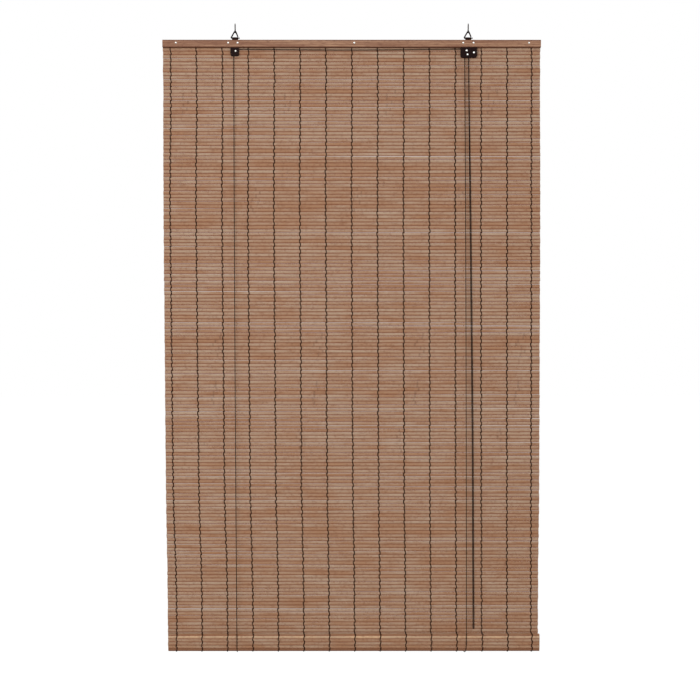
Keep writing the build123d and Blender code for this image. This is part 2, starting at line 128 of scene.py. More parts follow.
# %% A sheet of nodes
class NodeSheet:
    """A node tree being filled."""

    def __init__(self, tree):
        self.tree = tree

    def add(self, kind, settings=None, inputs=None, out=0):
        """One node, with its settings first and then its inputs. Gives one of its outputs."""
        node = self.tree.nodes.new(kind)
        for name, setting in (settings or {}).items():
            setattr(node, name, setting)
        for name, value in (inputs or {}).items():
            if isinstance(value, Wire):
                self.tree.links.new(value.socket, node.inputs[name])
            else:
                node.inputs[name].default_value = value
        return Wire(self, node.outputs[out]) if node.outputs else None

    def parts(self, vector):
        """A vector's X, Y and Z."""
        made = self.add("ShaderNodeSeparateXYZ", {}, {0: vector}).socket.node
        return [Wire(self, s) for s in made.outputs]

    def vector(self, x, y, z):
        return self.add("ShaderNodeCombineXYZ", {}, {0: x, 1: y, 2: z})

    def vectors(self, how, a, b):
        """Two vectors together, by a Vector Math node."""
        return self.add("ShaderNodeVectorMath", {"operation": how}, {0: a, 1: b})

    def noise(self, place, scale=1.0, detail=2.0, roughness=0.5):
        inputs = {"Vector": place, "Scale": scale, "Detail": detail, "Roughness": roughness}
        return self.add("ShaderNodeTexNoise", {}, inputs)

    def ease(self, value, low, high):
        """0 below low, 1 above high, and a smooth step between them."""
        settings = {"interpolation_type": "SMOOTHSTEP"}
        return self.add("ShaderNodeMapRange", settings, {0: value, 1: low, 2: high})


print("nodes are added by:", NodeSheet.__name__)

# %% [markdown]
# Colours are written as screen colours, from 0 to 255, because that is how an eye judges them. Shaders take
# linear light, so each one is converted.


# %% Screen colours
def paint(red, green, blue):
    """A screen colour, 0 to 255, as the linear colour that shaders take."""
    share = [c / 255 for c in (red, green, blue)]
    return (*(c / 12.92 if c < 0.04 else ((c + 0.055) / 1.055) ** 2.4 for c in share), 1)


print("a middle grey of 128 is", round(paint(128, 128, 128)[0], 3), "in linear light")

# %% [markdown]
# A material is a Principled shader and what feeds it. This small class starts one, lays colours over each
# other, and ends it: values that are the same all over go on the shader's own sockets, and only what varies
# is linked.


# %% Materials as a class
class Finish(NodeSheet):
    """A material being built."""

    def __init__(self, name):
        self.material = bpy.data.materials.new(name)
        self.material.use_nodes = True
        super().__init__(self.material.node_tree)
        self.tree.nodes.clear()

    def place(self):
        return self.add("ShaderNodeTexCoord", {}, {}, "Object")

    def own(self, name):
        """A number that the mesh carries."""
        return self.add("ShaderNodeAttribute", {"attribute_name": name}, {}, "Fac")

    def layers(self, colour, *layers):
        """Lays colours over each other: each layer is a share, from 0 to 1, and a colour."""
        for share, over in layers:
            inputs = {0: share, 6: colour, 7: over}
            colour = self.add("ShaderNodeMix", {"data_type": "RGBA"}, inputs, 2)
        return colour

    def done(self, height, depth, **sockets):
        """Ends the material: a height for its bumps, their depth in metres, and the shader's sockets."""
        sockets["Normal"] = self.add("ShaderNodeBump", {}, {"Height": height, "Distance": depth})
        sockets = {name.replace("_", " "): value for name, value in sockets.items()}
        shader = self.add("ShaderNodeBsdfPrincipled", {}, sockets)
        self.add("ShaderNodeOutputMaterial", {}, {"Surface": shader})
        print("material:", self.material.name, "with", len(self.tree.nodes), "nodes")
        return self.material


print("materials are made by:", Finish.__name__)

# %% [markdown]
# The cords are thin braided polyester. Their braid crosses in two directions, so the pattern is two slanted
# waves on the cord's own UV map, which runs round the cord and along it in metres.

# %% Braided cord
BRAID_STRANDS = 4
BRAID_STEP = 2.2 * MM


def braided_cord():
    finish = Finish("braided_cord")
    uv = finish.add("ShaderNodeUVMap", {}, {}, "UV")
    round_it, along, _ = finish.parts(uv)
    turns, steps = round_it * (2 * math.pi * BRAID_STRANDS), along * (2 * math.pi / BRAID_STEP)
    one = (turns + steps).math("SINE", turns + steps)
    other = (turns - steps).math("SINE", turns - steps)
    braid = one.math("MAXIMUM", one, other) * 0.5 + 0.5
    wear = finish.noise(finish.vectors("MULTIPLY", uv, (3, 90, 1)), 1.0, 3)
    dark, light = paint(8, 5, 6), paint(26, 16, 15)
    colour = finish.layers(dark, (braid * 0.7 + wear * 0.25, light))
    return finish.done(
        braid, 0.00015, Base_Color=colour, Roughness=0.8 - braid * 0.15, Specular_IOR_Level=0.1
    )


cord_finish = braided_cord()

# %% [markdown]
# A cord is one smooth NURBS spline with the route of the CAD cord as its control points. Blender turns that
# spline into a line of points. order_u is set after the points are there, because before that the spline
# has too few points for it.

# %% A smooth line from a route
SPLINE_STEPS = 12
SPLINE_ORDER = 3


def smooth_line(route):
    """The points of one NURBS spline whose control points are the route, in millimetres."""
    curve = bpy.data.curves.new("route", "CURVE")
    curve.dimensions = "3D"
    curve.resolution_u = SPLINE_STEPS
    spline = curve.splines.new("NURBS")
    spline.points.add(len(route) - 1)
    for point, place in zip(spline.points, route):
        point.co = (*(c * MM for c in place), 1)
    spline.order_u = SPLINE_ORDER
    spline.use_endpoint_u = True
    holder = bpy.data.objects.new("route", curve)
    bpy.context.scene.collection.objects.link(holder)
    seen = holder.evaluated_get(bpy.context.evaluated_depsgraph_get())
    line = bpy.data.meshes.new_from_object(seen)
    points = np.array([v.co for v in line.vertices])
    bpy.data.objects.remove(holder)
    bpy.data.curves.remove(curve)
    bpy.data.meshes.remove(line)
    return points


print("a cord's spline has order", SPLINE_ORDER)

# %% [markdown]
# Along those points goes a round tube. It is built ring by ring in mesh code, because the braid needs a UV
# map in real metres. Each ring keeps the direction of the one before as far as it can, so the tube doesn't
# twist.

# %% A tube along a line
TUBE_SIDES = 8


def tube_along(name, points, radius, material, sides=TUBE_SIDES):
    """A closed round tube along points in metres, with UV: round it, and along it in metres."""
    steps = np.diff(points, axis=0)
    ways = steps / np.linalg.norm(steps, axis=1)[:, None]
    tangents = np.vstack([ways[:1], ways[1:] + ways[:-1], ways[-1:]])
    tangents /= np.linalg.norm(tangents, axis=1)[:, None]
    along = np.concatenate([[0], np.cumsum(np.linalg.norm(steps, axis=1))])
    side = np.cross(tangents[0], (0.1, 0.2, 0.97))
    vertices = []
    for point, way in zip(points, tangents):
        side = side - way * (side @ way)
        side /= np.linalg.norm(side)
        other = np.cross(way, side)
        for k in range(sides):
            angle = 2 * math.pi * k / sides
            vertices.append(point + radius * (math.cos(angle) * side + math.sin(angle) * other))
    faces, uvs = [], []
    for ring in range(len(points) - 1):
        for k in range(sides):
            low, high, nxt = ring * sides, (ring + 1) * sides, (k + 1) % sides
            faces.append((low + k, low + nxt, high + nxt, high + k))
            u, u_next = k / sides, (k + 1) / sides
            v, v_next = along[ring], along[ring + 1]
            uvs += [(u, v), (u_next, v), (u_next, v_next), (u, v_next)]
    last = (len(points) - 1) * sides
    faces += [tuple(range(sides))[::-1], tuple(range(last, last + sides))]
    uvs += [(0.5, 0.0)] * sides + [(0.5, along[-1])] * sides
    mesh = bpy.data.meshes.new(name)
    mesh.from_pydata([tuple(v) for v in vertices], [], faces)
    layer = mesh.uv_layers.new(name="UVMap")
    layer.data.foreach_set("uv", np.array(uvs, np.float32).ravel())
    mesh.polygons.foreach_set("use_smooth", [len(f) == 4 for f in faces])
    mesh.materials.append(material)
    piece = bpy.data.objects.new(name, mesh)
    bpy.context.scene.collection.objects.link(piece)
    return piece


print("a cord's tube has", TUBE_SIDES, "sides")

# %% [markdown]
# A cord is a tube of its thickness along its route, on its body in place of its CAD nodes, and its real
# length is printed beside the stated one.

# %% Laying a cord
CORD = 2.0 * MM


def lay_cord(name, route, body, nodes, length):
    """A cord that starts and ends in the object, instead of its CAD nodes."""
    points = smooth_line(route)
    piece = tube_along(name, points, CORD / 2, cord_finish)
    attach(piece, body)
    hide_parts(*nodes)
    real = float(np.sum(np.linalg.norm(np.diff(points, axis=0), axis=1)))
    print(f"{name}: {real:.3f} m, stated {length} m")
    return piece


print("cords are", CORD / MM, "mm thick")

# %% [markdown]
# Each lift cord starts at a staple on the back of the rail, goes down behind the mat, under the roll and up
# in front to its pulley. It is three pieces here, because the roll carries the loop round it upwards. The
# straight runs would get shorter as the roll rises; here each only gets a mesh of its own.

# %% The lift cords
LIFT = next(j for j in frame["joints"] if j["name"] == "roll_lift")["range_m"][1]
BACK_X = {"left": -308.5, "right": 299.5}
FRONT_X = {"left": -308.5, "right": 308.4}
STAPLE_Y, STAPLE_Z = 7.55, -35.0
LOOP_BACK_Y, LOOP_FRONT_Y = 2.75, -18.95
RUN_END, LOOP_TOP, LOOP_FOOT = -1637.15, -1637.2, -1667.2


def shorten(piece, top, bottom):
    """Works out how much of the piece the roll's travel leaves, and gives the piece a mesh of its own."""
    keep = 1 - LIFT / ((top - bottom) * MM)
    top * MM
    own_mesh(piece)


for side, x in BACK_X.items():
    run = [(x, STAPLE_Y, STAPLE_Z), (x, LOOP_BACK_Y, RUN_END)]
    back = lay_cord(f"{side}_lift_cord_behind", run, "blind", [f"{side}_cord_back"], 1.602)
    shorten(back, STAPLE_Z, RUN_END)

cases = {
    "left": [(-312.15, -4.45, -66.25), (-312.2, -18.0, -700)],
    "right": [(298.45, -8.35, -65.55), (304.9, -18.2, -700)],
}
for side, run in cases.items():
    run = run + [(FRONT_X[side], LOOP_FRONT_Y, RUN_END)]
    front = lay_cord(f"{side}_lift_cord", run, "blind", [f"{side}_cord_front"], 1.571)
    shorten(front, run[0][2], RUN_END)

for side in ("left", "right"):
    back_x, front_x = BACK_X[side], FRONT_X[side]
    loop = [(back_x, LOOP_BACK_Y, LOOP_TOP), (back_x, LOOP_BACK_Y, LOOP_FOOT)]
    loop += [(front_x, LOOP_FRONT_Y, LOOP_FOOT), (front_x, LOOP_FRONT_Y, LOOP_TOP)]
    lay_cord(f"{side}_roll_loop", loop, "lift_slings", [f"{side}_sling"], 0.074)

# %% [markdown]
# The left lift cord crosses under the rail to the lock and goes down as one strand of the pull cord. At the
# plain fold it turns, comes back up as the other strand, and goes over the lock's front pulley to the right
# lift cord. When the roll comes up, it pushes the hanging strands forward. So the cord is split below the
# lock, into the long hanging part and two short parts above it, each with a mesh of its own. Each short
# part is listed with its upper end, its lower end and a slant in degrees.

# %% The pull cord
EXIT_Z, SPLIT_Z = -77.5, -118.0
across = [(-312.15, -4.45, -66.2), (-312.15, -4.45, -56.05), (-300.1, -4.45, -56.15)]
across += [(-1.7, -4.45, -58.7), (296.7, -4.45, -55.45), (308.75, -4.45, -55.35)]
across += [(308.75, -4.45, -65.5), (308.75, -4.45, EXIT_Z)]
lay_cord("cross_cord_strand", across, "blind", ["cross_cord"], 0.655)

down = [(309.5, -4.46, -110.0), (315.6, -4.5, -380), (320.2, -4.5, -700), (324.9, -4.5, -1020)]
down += [(327.8, -4.5, -1345), (330.0, -4.5, -1601), (330.0, -4.5, -1605)]
up = [(327.2, -7.3, -1605), (327.2, -7.3, -1601), (325.0, -7.3, -1345), (322.1, -7.3, -1020)]
up += [(317.4, -7.3, -700), (312.8, -7.3, -380), (309.2, -8.24, -110.0)]
hanging = lay_cord("pull_cord_strands", down + up, "blind", ["pull_cord"], 2.995)
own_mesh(hanging)

tops = {
    "rear": [(308.75, -4.45, EXIT_Z), (309.7, -4.46, SPLIT_Z), 23.7],
    "front": [(308.75, -8.35, EXIT_Z), (309.3, -8.21, SPLIT_Z), 18.6],
}
for strand, (upper, lower, slant) in tops.items():
    short = lay_cord(f"pull_cord_{strand}_top", [upper, lower], "blind", ["pull_cord"], 0.041)
    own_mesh(short)

over = [(308.75, -8.35, EXIT_Z), (308.75, -8.35, -65.5), (308.75, -8.35, -55.35)]
over += [(298.45, -8.35, -55.35), (298.45, -8.35, -65.5)]
lay_cord("lock_cord_turn", over, "blind", ["lock_cord"], 0.038)

# %% [markdown]
# Geometry Nodes make what repeats. This class starts a tree with named inputs, and grow() runs it on an
# empty object, keeps the result as a plain mesh and drops the modifier. Inputs are set by the socket's
# identifier, because two inputs may share a name.


# %% Patterns as a class
class Pattern(NodeSheet):
    """A Geometry Nodes tree being built. Its inputs are whole numbers, counts, and other numbers."""

    def __init__(self, name, counts, numbers):
        super().__init__(bpy.data.node_groups.new(name, "GeometryNodeTree"))
        self.sockets = {}
        for kind, names in (("NodeSocketInt", counts), ("NodeSocketFloat", numbers)):
            for socket in names.split():
                new = self.tree.interface.new_socket(socket, in_out="INPUT", socket_type=kind)
                self.sockets[socket] = new.identifier
        self.tree.interface.new_socket("Mesh", in_out="OUTPUT", socket_type="NodeSocketGeometry")
        self.group = self.tree.nodes.new("NodeGroupInput")

    def given(self, name):
        return Wire(self, self.group.outputs[name])

    def random(self, low, high, number, seed):
        """A number between low and high for each copy's own number, the same in each run."""
        inputs = {2: low, 3: high, 7: number, 8: seed}
        return self.add("FunctionNodeRandomValue", {"data_type": "FLOAT"}, inputs, 1)

    def keep(self, mesh, name, value, domain="POINT"):
        """Stores a number on the mesh, for its material to read."""
        settings = {"data_type": "FLOAT", "domain": domain}
        inputs = {"Geometry": mesh, "Name": name, "Value": value}
        return self.add("GeometryNodeStoreNamedAttribute", settings, inputs)

    def move(self, mesh, place):
        return self.add("GeometryNodeSetPosition", {}, {"Geometry": mesh, "Position": place})

    def join(self, *meshes):
        node = self.add("GeometryNodeJoinGeometry").socket.node
        for mesh in meshes:
            self.tree.links.new(mesh.socket, node.inputs[0])
        return Wire(self, node.outputs[0])

    def here(self):
        return self.add("GeometryNodeInputPosition")

    def own(self, name):
        """A number that the mesh carries."""
        settings = {"data_type": "FLOAT"}
        return self.add("GeometryNodeInputNamedAttribute", settings, {"Name": name})

    def done(self, mesh, material):
        """Ends the tree."""
        mesh = self.add("GeometryNodeRealizeInstances", {}, {"Geometry": mesh})
        mesh = self.add("GeometryNodeSetMaterial", {}, {"Geometry": mesh, "Material": material})
        end = self.tree.nodes.new("NodeGroupOutput")
        self.tree.links.new(mesh.socket, end.inputs[0])
        return self

    def grow(self, name, **values):
        """One plain mesh from this tree."""
        piece = bpy.data.objects.new(name, bpy.data.meshes.new(name))
        bpy.context.scene.collection.objects.link(piece)
        modifier = piece.modifiers.new("pattern", "NODES")
        modifier.node_group = self.tree
        for socket, value in values.items():
            modifier[self.sockets[socket]] = value
        seen = piece.evaluated_get(bpy.context.evaluated_depsgraph_get())
        mesh = bpy.data.meshes.new_from_object(seen)
        piece.modifiers.clear()
        piece.data = mesh
        mesh.name = name
        corners = np.array([v.co for v in mesh.vertices]) / MM
        low, high = corners.min(0).round(1), corners.max(0).round(1)
        print(f"{name}: {len(mesh.polygons)} faces, from {low} to {high} mm")
        return piece


print("patterns are made by:", Pattern.__name__)

# %% [markdown]
# Split bamboo is stained in one bath, yet it takes the stain in patches: pinkish grey here, orange there,
# and each slat has patches of its own. So every slat carries a random tone, which shifts its noise. A tone
# far below 0 makes a slat golden, paler cane with a painted highlight, and one far above 1 makes it brown,
# which is painted shade. Fine fibres run along it, its lower edge is darker, partly stain and partly
# painted shade as if lit from above, and here and there the cane's knots cross it.

# %% Stained bamboo
KNOT_SPACING = 270
KNOT_EDGE = (4, 12)


def stained_bamboo():
    finish = Finish("stained_bamboo")
    place = finish.place()
    x, y, z = finish.parts(place)
    tone, edge, start = finish.own("tone"), finish.own("edge"), finish.own("start")
    patches = finish.noise(finish.vector(x * 9, tone * 37, z * 20), 1.0, 4, 0.6)
    fibres = finish.noise(finish.vectors("MULTIPLY", place, (14, 500, 1400)), 1.0, 3, 0.6)
    flecks = finish.noise(finish.vectors("MULTIPLY", place, (150, 400, 200)), 1.0, 2, 0.6)
    along = (x + start) / (KNOT_SPACING * MM) % 1.0 - 0.5
    knot = 1 - finish.ease(along.math("ABSOLUTE", along), KNOT_EDGE[0] * MM, KNOT_EDGE[1] * MM)
    knot = knot * finish.own("knotty")
    pale, warm, gold = paint(173, 146, 122), paint(158, 117, 86), paint(203, 165, 128)
    brown, dark, edge_stain_and_shade = paint(114, 68, 42), paint(84, 52, 36), paint(122, 65, 39)
    # golden: the roll's upper slat, paler cane with a painted highlight
    golden = finish.ease(tone, -0.5, -1.5) * (0.45 + finish.ease(patches, 0.4, 0.6) * 0.5)
    colour = finish.layers(
        pale,
        (finish.ease(patches + tone * 0.16, 0.36, 0.8), warm),
        (golden, gold),
        # the brown row: painted shade along the roll's lower edge
        (finish.ease(tone, 1.5, 2.5) * 0.6, brown),
        (finish.ease(fibres, 0.42, 0.75) * 0.42, brown),
        (finish.ease(flecks, 0.48, 0.74) * 0.42, brown),
        # the lower edge of each slat: partly stain, partly painted shade as if lit from above
        (finish.ease(edge, 0.55, 0.98) * 0.9, edge_stain_and_shade),
        (knot * 0.3, dark),
    )
    height, rough = fibres * 0.4 + knot * 0.6, 0.55 + fibres * 0.25
    return finish.done(
        height, 0.0003, Base_Color=colour, Roughness=rough, Specular_IOR_Level=0.3
    )


bamboo = stained_bamboo()

# %% [markdown]
# A slat is split from a cane: its front is rounded and its back nearly flat. A cylinder of ten sides, lying
# along X, gives that when powers of its Y and Z squeeze it. Each point also stores how low on the slat it
# is, for the darker lower edge, which is partly stain and partly painted shade.

# %% One slat
FRONT_POWER, BACK_POWER, EDGE_POWER = 0.8, 0.35, 0.6
TINY = 0.0001


def cane(tree, length, height, thickness):
    """One slat about the origin, along X, with its front towards -Y."""
    settings = {"fill_type": "NGON"}
    inputs = {"Vertices": 10, "Side Segments": 5, "Radius": 1.0, "Depth": 1.0}
    bar = tree.add("GeometryNodeMeshCylinder", settings, inputs)
    turned = {"Geometry": bar, "Rotation": (0, math.pi / 2, 0)}
    bar = tree.add("GeometryNodeTransform", {}, turned)
    x, y, z = tree.parts(tree.here())
    front = y.math("MINIMUM", y, 0.0)
    back = y.math("MAXIMUM", y, 0.0)
    depth = (back + TINY) ** BACK_POWER - (TINY - front) ** FRONT_POWER
    across = z.math("SIGN", z) * (z.math("ABSOLUTE", z) ** EDGE_POWER)
    bar = tree.keep(bar, "edge", 0.5 - across * 0.5)
    place = tree.vector(x * length, depth * thickness * 0.5, across * height * 0.5)
    return tree.move(bar, place)


print("a slat is made by:", cane.__name__)

# %% [markdown]
# Rows of slats are copies of that one on a line of points, with Instance on Points. Small random turns,
# lengths and heights, all from a fixed seed, keep the rows from looking printed. Each copy stores its tone.
# Seven neighbours come from one cane, so their knots lie nearly in line, and few canes show their knots.

# %% Rows of slats
CLOSE = 1.01
TILT = 0.00035
SHORTEST = 0.9978
LOWEST, HIGHEST = 0.95, 1.02
TONE_JUMP = 3.0
CULM_ROWS = 7.0
CULM_START, SLAT_STRAY = 300, 30
KNOTTY = (0.85, 0.97)


def slat_rows(tree, seed, golden_highlit_row=-1, brown_shaded_row=-1):
    """The slats down a line, with their attributes. One row may be golden, partly painted highlight,
    and one brown, which is painted shade.
    """
    rows, first = tree.given("rows"), tree.given("first")
    pitch, length = tree.given("pitch"), tree.given("length")
    down = tree.vector(0.0, 0.0, 0 - pitch)
    line = tree.add("GeometryNodeMeshLine", {}, {"Count": rows, "Offset": down})
    number = tree.add("GeometryNodeInputIndex") + first
    bar = cane(tree, length, pitch * CLOSE, tree.given("thickness"))
    tilt = tree.vector(0.0, tree.random(-TILT, TILT, number, seed), 0.0)
    long = tree.random(SHORTEST, 1.0, number, seed + 1)
    size = tree.vector(long, 1.0, tree.random(LOWEST, HIGHEST, number, seed + 2))
    inputs = {"Points": line, "Instance": bar, "Rotation": tilt, "Scale": size}
    slats = tree.add("GeometryNodeInstanceOnPoints", {}, inputs)
    tone = tree.random(0.0, 1.0, number, seed + 3)
    # the golden row is partly a painted highlight, and the brown row is painted shade
    for row, change in ((golden_highlit_row, -TONE_JUMP), (brown_shaded_row, TONE_JUMP)):
        away = (number - row).math("ABSOLUTE", number - row)
        tone = tone + change * (1 - away.math("MINIMUM", away, 1.0))
    slats = tree.keep(slats, "tone", tone, "INSTANCE")
    culm = (number / CULM_ROWS).math("FLOOR", number / CULM_ROWS)
    start = tree.random(0.0, CULM_START * MM, culm, seed + 4)
    start = start + tree.random(0.0, SLAT_STRAY * MM, number, seed + 6)
    slats = tree.keep(slats, "start", start, "INSTANCE")
    knotty = tree.ease(tree.random(0.0, 1.0, culm, seed + 5), *KNOTTY)
    slats = tree.keep(slats, "knotty", knotty, "INSTANCE")
    return tree.add("GeometryNodeRealizeInstances", {}, {"Geometry": slats})


print("slats from one cane:", int(CULM_ROWS))

# %% [markdown]
# The mat is 176 slats, 9.2 mm apart. It isn't a perfect rectangle: it leans 4 mm over its height, it is a
# little wider in the middle, and each slat sways and bows by less than a millimetre. The rows are made in
# two pieces. The upper one stays as it is, and the lower one gets a mesh of its own.

# %% The mat of slats
PITCH = 9.2
MAT_TOP = -33.9
MAT_Y = -0.45
MAT_THICKNESS = 1.8
MAT_LENGTH = 1000.2
MAT_SHIFT = -0.4
MAT_LEAN = 4.0
MAT_WIDER = 0.0042
WIDENS, NARROWS = (120, 500), (1200, 1520)
SWAY, BOW = 0.8, 0.9
MAT_ROWS = 176
SPLIT_ROW = 13


def spread_share(tree, z):
    """How much of its extra width the mat has at a height: 1 in its middle part and 0 at its ends."""
    wide = tree.ease(0 - z, WIDENS[0] * MM, WIDENS[1] * MM)
    return wide * (1 - tree.ease(0 - z, NARROWS[0] * MM, NARROWS[1] * MM))


def slat_tree():
    tree = Pattern("slat_mat", "rows first", "pitch length thickness top depth lean")
    slats = slat_rows(tree, 3)
    x, y, z = tree.parts(tree.here())
    pitch, first = tree.given("pitch"), tree.given("first")
    row = (0 - z) / pitch + first
    sway = tree.noise(tree.vector(row * 0.11, 3.0, 0.0), 1.0, 1) - 0.5
    bow = tree.noise(tree.vector(x * 4.0, row * 0.9, tree.own("tone") * 9.0), 1.0, 1) - 0.5
    wider = spread_share(tree, z + tree.given("top")) * x * MAT_WIDER
    place = tree.vector(
        x + MAT_SHIFT * MM + wider + row * tree.given("lean") + sway * (SWAY * MM),
        y + tree.given("depth"),
        z + tree.given("top") - pitch * 0.5 + bow * (BOW * MM),
    )
    return tree.done(tree.move(slats, place), bamboo)


slats = slat_tree()
sizes = {
    "pitch": PITCH * MM, "length": MAT_LENGTH * MM, "thickness": MAT_THICKNESS * MM,
    "depth": MAT_Y * MM, "lean": MAT_LEAN / MAT_ROWS * MM,
}
split_z = MAT_TOP - SPLIT_ROW * PITCH
upper = slats.grow("slats_upper", rows=SPLIT_ROW, first=0, top=MAT_TOP * MM, **sizes)
lower = slats.grow(
    "slats_lower", rows=MAT_ROWS - SPLIT_ROW, first=SPLIT_ROW, top=split_z * MM, **sizes
)
for part in (upper, lower):
    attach(part, "blind")
    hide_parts("reed_mat")
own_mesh(lower)

# %% [markdown]
# The warp threads are dark brown cotton, with a fine twist and some fluff. The twist is one slanted wave.


# %% Cotton thread
def warp_thread_finish():
    finish = Finish("warp_cotton")
    place = finish.place()
    x, y, z = finish.parts(place)
    ply = (z * 5200 + x * 3000).math("SINE", z * 5200 + x * 3000) * 0.5 + 0.5
    fluff = finish.noise(place, 900.0, 3)
    dark, light = paint(24, 10, 5), paint(52, 27, 15)
    colour = finish.layers(dark, (ply * 0.6 + fluff * 0.4, light))
    return finish.done(
        ply + fluff * 0.6, 0.00012, Base_Color=colour, Roughness=0.8 + fluff * 0.15,
        Specular_IOR_Level=0.1,
    )


warp_cotton = warp_thread_finish()

# %% [markdown]
# Fifteen pairs of threads hold the slats. One thread of a pair lies a little to the left and the other a
# little to the right. Each passes in front of a slat, behind the next, and so on, and they change places in
# each gap, so the line that shows is a fine zigzag, two slats to a step. Half a turn of a Spiral curve for
# each slat gives that: it is squeezed flat, moved aside, doubled, made a tube, and copied to 15 points.

# %% Woven pairs
WARPS = 15
WARP_SPACING = 68.57
LAST_WARP_IN = 4.0
TURN_WIDTH, TURN_POWER = 0.35, 0.5


def woven_pair(tree, rows, pitch, width, depth, radius):
    """Two threads that change places at each gap, from Z 0 upwards."""
    inputs = {"Resolution": 8, "Rotations": rows * 0.5, "Start Radius": 1.0, "End Radius": 1.0}
    spiral = tree.add("GeometryNodeCurveSpiral", {}, inputs | {"Height": rows * pitch})
    x, y, z = tree.parts(tree.here())
    flat = y.math("SIGN", y) * (y.math("ABSOLUTE", y) ** TURN_POWER)
    one = tree.move(spiral, tree.vector((x * TURN_WIDTH - 1.0) * width, flat * depth, z))
    half_turn = {"Geometry": one, "Rotation": (0, 0, math.pi)}
    both = tree.join(one, tree.add("GeometryNodeTransform", {}, half_turn))
    ring = tree.add("GeometryNodeCurvePrimitiveCircle", {}, {"Resolution": 5, "Radius": radius})
    inputs = {"Curve": both, "Profile Curve": ring, "Fill Caps": True}
    return tree.add("GeometryNodeCurveToMesh", {}, inputs)


def spread(tree, thread, count, gap):
    """Copies of the thread across the mat, each with its own number."""
    start = tree.vector(gap * -0.5 * (count - 1), 0.0, 0.0)
    inputs = {"Count": count, "Start Location": start, "Offset": tree.vector(gap, 0.0, 0.0)}
    line = tree.add("GeometryNodeMeshLine", {}, inputs)
    copies = tree.add("GeometryNodeInstanceOnPoints", {}, {"Points": line, "Instance": thread})
    copies = tree.keep(copies, "warp", tree.add("GeometryNodeInputIndex"), "INSTANCE")
    return tree.add("GeometryNodeRealizeInstances", {}, {"Geometry": copies})


def last_in(tree):
    """How far the last pair stands nearer to the others than the rest do."""
    return tree.ease(tree.own("warp"), WARPS - 1.8, WARPS - 1.2) * (LAST_WARP_IN * MM)


print("warp pairs:", WARPS)

# %% [markdown]
# On the mat the pairs lean to the right by 7.8 mm from top to bottom. In the middle they follow the mat's
# extra width, moved a little to the left, and noise lets each pair wander in its own way.

# %% The warp threads
WARP_TOP = MAT_TOP - 2 * PITCH
MAT_BOTTOM = MAT_TOP - MAT_ROWS * PITCH
WARP_SHIFT = 0.4
WARP_LEAN = 7.8
WARP_WIDER, WARP_ASIDE = 0.006, 2.8
WANDER = 3.0
MAT_THREAD = {"width": 0.95 * MM, "depth": 1.15 * MM, "radius": 1.4 * MM}


def warp_tree():
    tree = Pattern("warp_threads", "rows", "pitch gap bottom width depth radius middle")
    size = [tree.given(n) for n in ("rows", "pitch", "width", "depth", "radius")]
    threads = spread(tree, woven_pair(tree, *size), WARPS, tree.given("gap"))
    x, y, z = tree.parts(tree.here())
    z = z + tree.given("bottom")
    drop = (z - WARP_TOP * MM) * (WARP_LEAN / (MAT_BOTTOM - WARP_TOP))
    number = tree.own("warp")
    wander = tree.noise(tree.vector(number * 7.3, 0.0, z * 22.0), 1.0, 2) - 0.5
    twitch = tree.noise(tree.vector(number * 3.1, 5.0, z * 55.0), 1.0, 1) - 0.5
    wider = spread_share(tree, z) * (x * WARP_WIDER - WARP_ASIDE * MM)
    x = x + WARP_SHIFT * MM + drop + wider
    x = x + wander * (WANDER * MM) + twitch * (WANDER * MM) - last_in(tree)
    return tree.done(tree.move(threads, tree.vector(x, y + tree.given("middle"), z)), warp_cotton)


warps = warp_tree()
sizes = {"pitch": PITCH * MM, "gap": WARP_SPACING * MM, "middle": MAT_Y * MM} | MAT_THREAD
upper = warps.grow("warps_upper", rows=SPLIT_ROW - 2, bottom=split_z * MM, **sizes)
lower = warps.grow("warps_lower", rows=MAT_ROWS - SPLIT_ROW, bottom=MAT_BOTTOM * MM, **sizes)
for part in (upper, lower):
    part.data.shade_smooth()
    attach(part, "blind")
    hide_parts(*(f"warp_thread_{n:02d}" for n in range(1, WARPS + 1)))
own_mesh(lower)

# %% [markdown]
# At the bottom the mat goes once round a flat bar. The same slats and pairs of threads serve again: they
# are made flat, and then each point is set by how far it is along a loop round the bar. Sample Curve gives
# the loop's place and direction there, and the slat's thickness goes outwards from it. That turns the piece
# inside out, so its faces are flipped at the end.

# %% Round the bar
ROLL_Y, ROLL_Z = -10.15, -1641.1
LOOP_HALF_HEIGHT, LOOP_HALF_THICKNESS = 22.9, 5.6
LOOP_LENGTH = 4 * (LOOP_HALF_HEIGHT - LOOP_HALF_THICKNESS) + 2 * math.pi * LOOP_HALF_THICKNESS
LOOP_START = 0.025
CORNER_POINTS = 12


def bend_round_bar(tree, mesh):
    """Takes a flat piece, X along, -Y its front and Z its height, round the bar."""
    size = {"Width": LOOP_HALF_THICKNESS * 2 * MM, "Height": LOOP_HALF_HEIGHT * 2 * MM}
    loop = tree.add("GeometryNodeCurvePrimitiveQuadrilateral", {}, size)
    corner = {"Curve": loop, "Count": CORNER_POINTS, "Radius": LOOP_HALF_THICKNESS * 0.999 * MM}
    loop = tree.add("GeometryNodeFilletCurve", {"mode": "POLY"}, corner)
    turn = {"Geometry": loop, "Rotation": (math.pi / 2, 0, math.pi / 2)}
    loop = tree.add("GeometryNodeTransform", {}, turn)
    x, y, z = tree.parts(tree.here())
    share = (z * (-1.0 / (LOOP_LENGTH * MM)) + LOOP_START) % 1.0
    settings = {"mode": "FACTOR", "data_type": "FLOAT"}
    sample = tree.add("GeometryNodeSampleCurve", settings, {"Curves": loop, "Factor": share})
    outputs = sample.socket.node.outputs
    spot, way = Wire(tree, outputs["Position"]), Wire(tree, outputs["Tangent"])
    outward = tree.vectors("CROSS_PRODUCT", way, (1.0, 0.0, 0.0))
    step = tree.add("ShaderNodeVectorMath", {"operation": "SCALE"}, {0: outward, "Scale": y})
    place = tree.vectors("ADD", spot, step)
    place = tree.vectors("ADD", place, tree.vector(x, ROLL_Y * MM, ROLL_Z * MM))
    return tree.add("GeometryNodeFlipFaces", {}, {"Mesh": tree.move(mesh, place)})


print("loop round the bar:", round(LOOP_LENGTH, 1), "mm")
